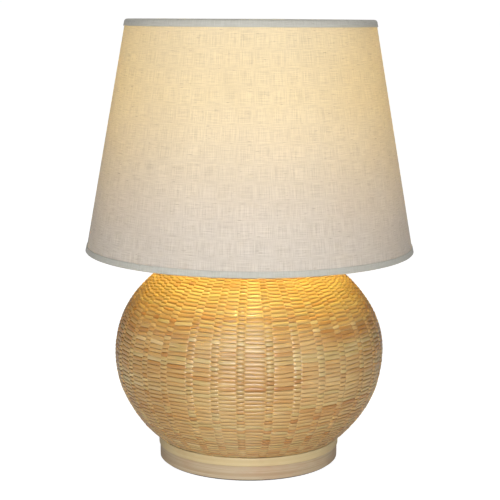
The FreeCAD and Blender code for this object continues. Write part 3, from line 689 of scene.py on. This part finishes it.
def hem_tape(name, node, up, material, rng):
    """Tape folded over a rim and its wire, slightly puckered. up is 1 at the top rim, -1 below."""
    low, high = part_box(node)
    cloth = Cone("shade_fabric")
    rim_z = high.z if up > 0 else low.z
    height = high.z - low.z
    turns = 360
    theta = np.linspace(0, TAU, turns, endpoint=False)
    pucker = waves(rng, theta, (40, 57, 83), 0.06 * MM) + waves(rng, theta, (4, 7), 0.08 * MM)
    edge = waves(rng, theta, (5, 11, 23), 0.12 * MM)

    def inward(depth):
        """The height at a distance from the rim, towards the shade's middle."""
        return rim_z - up * depth

    def section():
        """The tape's outline: radius, height, and its shares of the puckers and of the edge's wave."""
        leg_end = inward(height)
        middle = cloth.r(rim_z) - TAPE_WIRE / 2 - 0.3 * MM
        reach = cloth.r(rim_z) + TAPE_THICK - middle
        inner = middle - reach
        # The outside of the tape, from its outer edge to the fold.
        path = [(cloth.r(leg_end) + 0.05 * MM, leg_end, 0.3, 1.0),
                (cloth.r(leg_end) + TAPE_THICK - 0.1 * MM, leg_end, 0.6, 1.0),
                (cloth.r(leg_end) + TAPE_THICK, leg_end + up * 0.5 * MM, 1.0, 0.8)]
        for depth, share in ((0.55 * height, 0.2), (TAPE_FOLD, 0.0)):
            path.append((cloth.r(inward(depth)) + TAPE_THICK, inward(depth), 1.0, share))
        # Round the fold over the wire, and down behind it to the inner edge.
        for i in range(1, 9):
            angle = math.pi * i / 8
            path.append((middle + reach * math.cos(angle),
                         inward(TAPE_FOLD * (1 - math.sin(angle))), 0.3, 0.0))
        path.append((inner + 0.4 * MM, inward(4.6 * MM), 0.5, 0.0))
        path.append((cloth.r(inward(6.0 * MM)) - 2.2 * MM, inward(6.0 * MM), 0.3, 0.3))
        # Back along the inside of the tape.
        path.append((cloth.r(inward(5.4 * MM)) - 1.75 * MM, inward(5.4 * MM), 0.3, 0.0))
        path.append((inner + TAPE_THICK + 0.2 * MM, inward(3.9 * MM), 0.0, 0.0))
        for i in range(1, 6):
            angle = math.pi * (1 - i / 6)
            path.append((middle + (reach - TAPE_THICK) * math.cos(angle),
                         inward(TAPE_FOLD - 1.5 * MM * math.sin(angle)), 0.0, 0.0))
        path.append((cloth.r(inward(3.0 * MM)) + 0.05 * MM, inward(3.0 * MM), 0.0, 0.0))
        if up < 0:
            path = path[::-1]
        return np.stack([np.stack([np.full(turns, p[0]) + p[2] * (pucker - 0.15 * MM),
                                   np.full(turns, p[1]) + p[3] * up * (edge + 0.2 * MM)], axis=-1)
                         for p in path])

    piece = ring_grid(name, section(), theta)
    piece.data.materials.append(material)
    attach(piece, "shade")
    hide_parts(node)
    return piece


def weave_threads(m, warp, weft):
    """Linen threads both ways: returns their height, their slubs and a slow tone."""
    uv = m.uv()
    across = m.noise(m.scaled(uv, (60.0, weft, 1.0)), 1.0, 2.0, 0.6)
    down = m.noise(m.scaled(uv, (warp, 55.0, 1.0)), 1.0, 2.0, 0.6)
    slub = m.noise(m.scaled(uv, (120.0, 1100.0, 1.0)), 1.0, 1.0, 0.4)
    tone = m.noise(m.scaled(uv, (9.0, 9.0, 1.0)), 1.0, 2.0, 0.5)
    threads = m.mix(across, down, 0.5)
    return threads, slub, tone


GLOW_FULL = 0.75               # the share of the shade's height at which its glow is full


def linen(name, light, dark, fleck, translucent, coarse=1.0, glow=None):
    """Linen cloth that reflects light and passes a little. glow is the colour of a painted glow, which stands
    in for the bulb's light.
    """
    m = Nodes(name)
    threads, slub, tone = weave_threads(m, 2100.0 / coarse, 1900.0 / coarse)
    colour = m.mix(light, dark, m.to_range(threads, 0.0, 1.0, 0.42, 0.64))
    colour = m.mix(colour, fleck, m.to_range(slub, 0.0, 0.6, 0.69, 0.79))
    colour = m.mix(colour, dark, m.to_range(tone, 0.0, 0.3, 0.4, 0.75))
    if glow:
        # A painted glow, growing up the shade, stands in for the bulb's light in the cloth.
        # It stays with the shade, and doesn't follow the bulb.
        low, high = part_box("shade_fabric")
        parts = m.add("SeparateXYZ")
        m.link(m.place(), parts.inputs[0])
        up = m.to_range(parts.outputs["Z"], 0.0, 1.0, low.z, high.z)
        lit = m.mix((0.0, 0.0, 0.0), glow, m.to_range(up, 0.0, 1.0, 0.0, GLOW_FULL, "SMOOTHSTEP"))
        m.set(Emission_Color=m.mix(colour, lit, 1.0, "MULTIPLY"), Emission_Strength=1.0)
        # Painted light: the base colour is also painted warmer towards the top, for the bulb's light in the
        # cloth.
        colour = m.mix(colour, (1.0, 1.0, 0.88), m.to_range(up, 0.0, 1.0, 0.25, 0.7), "MULTIPLY")
    m.set(Base_Color=colour, Roughness=0.9, Specular_IOR_Level=0.2, Sheen_Weight=0.15,
          Sheen_Roughness=0.5)
    m.bump(threads, 0.5, 0.12 * MM)
    m.pass_light(m.mix(colour, (1.0, 0.94, 0.7), 1.0, "MULTIPLY"), translucent)
    return m.material


def backing_sheet():
    """The white backing sheet: smooth plastic that passes warm light."""
    m = Nodes("backing_sheet")
    mottle = m.noise(m.place(), 90.0, 3.0, 0.5)
    colour = m.mix(linear(228, 218, 202), linear(216, 205, 186), m.to_range(mottle, 0.0, 1.0, 0.35, 0.7))
    m.set(Base_Color=colour, Roughness=m.to_range(mottle, 0.45, 0.6))
    m.pass_light(m.mix(colour, (1.0, 0.97, 0.88), 1.0, "MULTIPLY"), 0.36)
    return m.material


# ---- plain materials for the CAD pieces -----------------------------------------------

def finish(material, *names):
    """Gives CAD pieces a material."""
    for name in names:
        data = nodes[name].data
        data.materials.clear()
        data.materials.append(material)


def speckled(name, base, other, scale, rough, spread=0.12, metallic=0.0, bump=0.1, depth=0.1 * MM,
             coat=0.0, stretch=(1.0, 1.0, 1.0)):
    """A general finish: two tones in a fine pattern, which also breaks up gloss and level."""
    m = Nodes(name)
    vector = m.scaled(m.place(), stretch)
    fine = m.noise(vector, scale, 4.0, 0.6)
    broad = m.noise(vector, scale / 9, 3.0, 0.5)
    colour = m.mix(base, other, m.to_range(fine, 0.0, 1.0, 0.38, 0.72))
    colour = m.mix(colour, other, m.to_range(broad, 0.0, 0.5, 0.5, 0.75))
    m.set(Base_Color=colour, Roughness=m.to_range(broad, rough - spread / 2, rough + spread / 2, 0.3, 0.7),
          Metallic=metallic, Coat_Weight=coat, Coat_Roughness=0.1)
    m.bump(fine, bump, depth)
    return m.material


def lit_bulb(colour, strength):
    """Opal glass glowing evenly, a little dimmer towards its foot."""
    m = Nodes("lit_opal_glass")
    low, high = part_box("bulb_globe")
    parts = m.add("SeparateXYZ")
    m.link(m.place(), parts.inputs[0])
    level = m.to_range(parts.outputs["Z"], 0.6, 1.0, low.z, 0.5 * low.z + 0.5 * high.z)
    mottle = m.noise(m.place(), 60.0, 2.0, 0.5)
    shade = m.mix((0.92, 0.92, 0.92), (1.0, 1.0, 1.0), mottle)
    m.set(Base_Color=linear(250, 240, 222), Roughness=m.to_range(mottle, 0.2, 0.34), Coat_Weight=0.5)
    m.set(Emission_Color=m.mix(colour, m.mix((0.0, 0.0, 0.0), shade, level), 1.0, "MULTIPLY"),
          Emission_Strength=strength)
    return m.material


def finish_cad_pieces():
    """Materials for the CAD pieces that are shown as they are."""
    steel = speckled("zinc_plate", linear(178, 180, 184), linear(140, 142, 146), 900.0, 0.38, metallic=1.0)
    finish(steel, "base_screws", "lower_nut", "lower_washer", "upper_nut", "upper_washer",
           "terminal_screws", "switch_bracket", "threaded_tube")
    brass = speckled("satin_brass", linear(206, 168, 96), linear(176, 134, 66), 700.0, 0.3, metallic=1.0,
                     stretch=(1.0, 1.0, 8.0))
    finish(brass, "cap_washer", "riser_sleeve", "switch_shaft")
    strip = speckled("contact_brass", linear(214, 176, 104), linear(190, 146, 78), 500.0, 0.24, metallic=1.0)
    finish(strip, "screw_shell", "centre_contact", "side_contact", "bulb_contact")
    black = speckled("moulded_black", linear(34, 33, 32), linear(22, 22, 22), 1400.0, 0.32, coat=0.2)
    finish(black, "holder_cap", "holder_skirt", "switch_knob", "shade_ring", "bulb_insulator")
    finish(speckled("steatite", linear(232, 228, 218), linear(214, 208, 196), 600.0, 0.5), "holder_insert")
    finish(speckled("ivory_plastic", linear(222, 216, 200), linear(205, 198, 182), 900.0, 0.5), "switch_body")
    finish(speckled("fibre_washer", linear(60, 52, 44), linear(40, 35, 30), 1200.0, 0.85, bump=0.4),
           "seat_washer")
    finish(speckled("white_wire", linear(232, 230, 224), linear(214, 211, 203), 700.0, 0.35, coat=0.3),
           "fitter_ring", "fitter_arms", "bottom_ring", "top_ring")
    finish(speckled("bulb_aluminium", linear(205, 206, 208), linear(176, 177, 180), 500.0, 0.28,
                    metallic=1.0, stretch=(1.0, 1.0, 12.0)), "bulb_cap")
    finish(speckled("bulb_plastic", linear(238, 236, 230), linear(226, 223, 215), 800.0, 0.42),
           "bulb_housing")
    finish(speckled("led_board_white", linear(236, 236, 232), linear(220, 220, 214), 800.0, 0.5), "led_board")
    finish(speckled("phosphor", linear(246, 214, 96), linear(232, 190, 70), 900.0, 0.4), "led_chips")
    finish(speckled("cast_iron", linear(62, 62, 64), linear(44, 44, 46), 420.0, 0.7, metallic=0.6,
                    bump=0.6, depth=0.4 * MM), "weight_plate")
    finish(speckled("plywood", linear(206, 176, 130), linear(176, 142, 98), 160.0, 0.7, bump=0.2,
                    stretch=(1.0, 12.0, 1.0)), "base_board")
    finish(speckled("black_felt", linear(50, 50, 50), linear(30, 30, 30), 1500.0, 0.95, bump=0.8,
                    depth=0.5 * MM), "felt_cover")
    finish(speckled("grommet_rubber", linear(36, 36, 36), linear(26, 26, 26), 1100.0, 0.6), "cable_grommet")
    finish(speckled("neck_wood", linear(176, 140, 92), linear(140, 104, 62), 130.0, 0.5, bump=0.3,
                    stretch=(1.0, 10.0, 1.0), coat=0.2), "neck_disc")
    finish(speckled("rough_bamboo", linear(206, 182, 138), linear(172, 138, 92), 90.0, 0.6, bump=0.3,
                    stretch=(1.0, 1.0, 14.0)), "inner_hoop")


# ---- the scene ------------------------------------------------------------------------

CAMERA_BACK = 1.504            # in front of the lamp's axis
CAMERA_SIDE = 0.0005           # to the right of it
CAMERA_UP = 0.4732
CAMERA_PITCH = 9.34            # degrees down
CAMERA_LENS = 102.43           # mm on a 36 mm sensor
CAMERA_ROLL = 0.32             # degrees, because the lamp pictured leans a little


def add_camera():
    """A long lens in front of the lamp, looking slightly down."""
    data = bpy.data.cameras.new("camera")
    data.lens = CAMERA_LENS
    data.sensor_width = 36.0
    camera = bpy.data.objects.new("camera", data)
    camera.location = (CAMERA_SIDE, -CAMERA_BACK, CAMERA_UP)
    turn = Euler((math.radians(90 - CAMERA_PITCH), 0.0, 0.0)).to_matrix()
    roll = Euler((0.0, 0.0, math.radians(CAMERA_ROLL))).to_matrix()
    camera.rotation_euler = (turn @ roll).to_euler()
    bpy.context.scene.collection.objects.link(camera)
    bpy.context.scene.camera = camera


def area_light(name, place, target, width, height, power, colour):
    """A rectangular light at a place, turned to face a target."""
    data = bpy.data.lights.new(name, "AREA")
    data.shape = "RECTANGLE"
    data.size, data.size_y = width, height
    data.energy = power
    data.color = colour
    light = bpy.data.objects.new(name, data)
    light.location = place
    light.rotation_euler = (Vector(target) - Vector(place)).to_track_quat("-Z", "Y").to_euler()
    bpy.context.scene.collection.objects.link(light)


def add_lights():
    """Two soft lights in front, one of them low for the foot, and one behind and above."""
    centre = (0.0, 0.0, 0.2)
    area_light("front_soft", (-0.1, -1.8, 1.06), centre, 1.2, 1.8, 15.6, (0.97, 0.985, 1.0))
    area_light("front_low", (0.0, -1.6, 0.1), (0.0, 0.0, 0.1), 1.0, 0.4, 12.5, (1.0, 1.0, 1.0))
    area_light("back_soft", (0.3, 1.4, 2.1), centre, 1.4, 1.4, 13.0, (1.0, 0.98, 0.95))


def add_floor():
    """A wide pale floor that fades into the backdrop."""
    size, levels = 60.0, 2
    edge = np.linspace(-size, size, levels)
    x, y = np.meshgrid(edge, edge)
    verts = np.stack([x, y, 0 * x - 0.5 * MM], axis=-1).reshape(-1, 3)
    floor = new_object("floor", verts, grid_quads(levels, levels, False, False), smooth=False)
    m = Nodes("pale_floor")
    tone = m.noise(m.place(), 2.0, 2.0, 0.5)
    m.set(Base_Color=m.mix((0.27, 0.27, 0.27), (0.29, 0.29, 0.29), tone), Roughness=0.95,
          Specular_IOR_Level=0.0, Emission_Color=(1.0, 1.0, 1.0), Emission_Strength=0.97)
    # It is seen as white paper, and lights the lamp as a plain pale surface.
    plain = m.add("BsdfDiffuse", Color=(0.75, 0.75, 0.75, 1.0))
    path = m.add("LightPath")
    both = m.add("MixShader")
    m.link(path.outputs["Is Camera Ray"], both.inputs[0])
    m.link(plain.outputs[0], both.inputs[1])
    m.link(m.shader.outputs[0], both.inputs[2])
    m.link(both.outputs[0], m.output.inputs["Surface"])
    floor.data.materials.append(m.material)


def add_world():
    """A white backdrop to the camera, but a dimmer one as a light and in gloss."""
    world = bpy.data.worlds.new("studio")
    world.use_nodes = True
    tree = world.node_tree
    background = tree.nodes["Background"]
    background.inputs["Color"].default_value = (1.0, 1.0, 1.0, 1.0)
    background.inputs["Strength"].default_value = 0.24
    seen = tree.nodes.new("ShaderNodeBackground")
    seen.inputs["Strength"].default_value = 1.02
    path = tree.nodes.new("ShaderNodeLightPath")
    both = tree.nodes.new("ShaderNodeMixShader")
    tree.links.new(path.outputs["Is Camera Ray"], both.inputs[0])
    tree.links.new(background.outputs[0], both.inputs[1])
    tree.links.new(seen.outputs[0], both.inputs[2])
    seen.inputs["Color"].default_value = (1.0, 1.0, 1.0, 1.0)
    # Gloss mirrors a dim room, so that the lamp's sides keep their colour.
    dim = tree.nodes.new("ShaderNodeBackground")
    dim.inputs["Strength"].default_value = 0.03
    gloss = tree.nodes.new("ShaderNodeMixShader")
    tree.links.new(path.outputs["Is Glossy Ray"], gloss.inputs[0])
    tree.links.new(both.outputs[0], gloss.inputs[1])
    tree.links.new(dim.outputs[0], gloss.inputs[2])
    tree.links.new(gloss.outputs[0], tree.nodes["World Output"].inputs["Surface"])
    bpy.context.scene.world = world


# ---- the lamp -------------------------------------------------------------------------

WEAVER_TONES = [(0.0, linear(184, 126, 64)), (0.25, linear(200, 150, 86)), (0.45, linear(210, 168, 104)),
                (0.62, linear(214, 176, 114)), (0.8, linear(200, 172, 110)), (1.0, linear(228, 200, 144))]

add_camera()
weaver_material = split_bamboo("weaver_bamboo", WEAVER_TONES, 3.0)
stake_material = split_bamboo("stake_bamboo", WEAVER_TONES[1:], 9.0, middle=2.5 / 6)
globe, lean = woven_globe(weaver_material)
stakes(globe, lean, stake_material)

strip_rng = np.random.default_rng(5)
band_material = bent_bamboo("band_bamboo", light=linear(206, 188, 158), dark=linear(160, 124, 84),
                            blush=linear(188, 146, 112), seed=0.0, streak=0.6)
hoop_material = bent_bamboo("hoop_bamboo", light=linear(220, 200, 154), dark=linear(196, 166, 112),
                            blush=linear(206, 176, 128), seed=5.0, streak=0.35)
band = bent_strip("foot_band_strip", "foot_band", band_material, 0.8 * MM, strip_rng)
open_inlet(band)
bent_strip("foot_hoop_strip", "foot_hoop", hoop_material, 0.5 * MM, strip_rng)
bent_strip("neck_hoop_strip", "neck_hoop", hoop_material, 0.8 * MM, strip_rng, 144)

shade_rng = np.random.default_rng(21)
cloth_material = linen("shade_linen", light=linear(224, 216, 206), dark=linear(194, 184, 172),
                       fleck=linear(134, 112, 86), translucent=0.08, glow=(0.32, 0.20, 0.0))
tape_material = linen("hem_tape", light=linear(208, 206, 197), dark=linear(184, 181, 170),
                      fleck=linear(140, 130, 112), translucent=0.04, coarse=0.8)
cloth = shade_sheet("shade_cloth", "shade_fabric", 0.3 * MM, cloth_material, shade_rng, 0.12 * MM)
shade_sheet("shade_backing", "shade_liner", 0.4 * MM, backing_sheet(), shade_rng, 0.0)
top_tape = hem_tape("top_hem_tape", "top_hem", 1, tape_material, shade_rng)
bottom_tape = hem_tape("bottom_hem_tape", "bottom_hem", -1, tape_material, shade_rng)
(cut_width, cut_length), cut_area = Cone("shade_fabric").flat()

finish_cad_pieces()
finish(lit_bulb((1.0, 0.84, 0.24), 350.0), "bulb_globe")

add_floor()
add_world()
add_lights()
bpy.context.scene.view_settings.view_transform = "Standard"
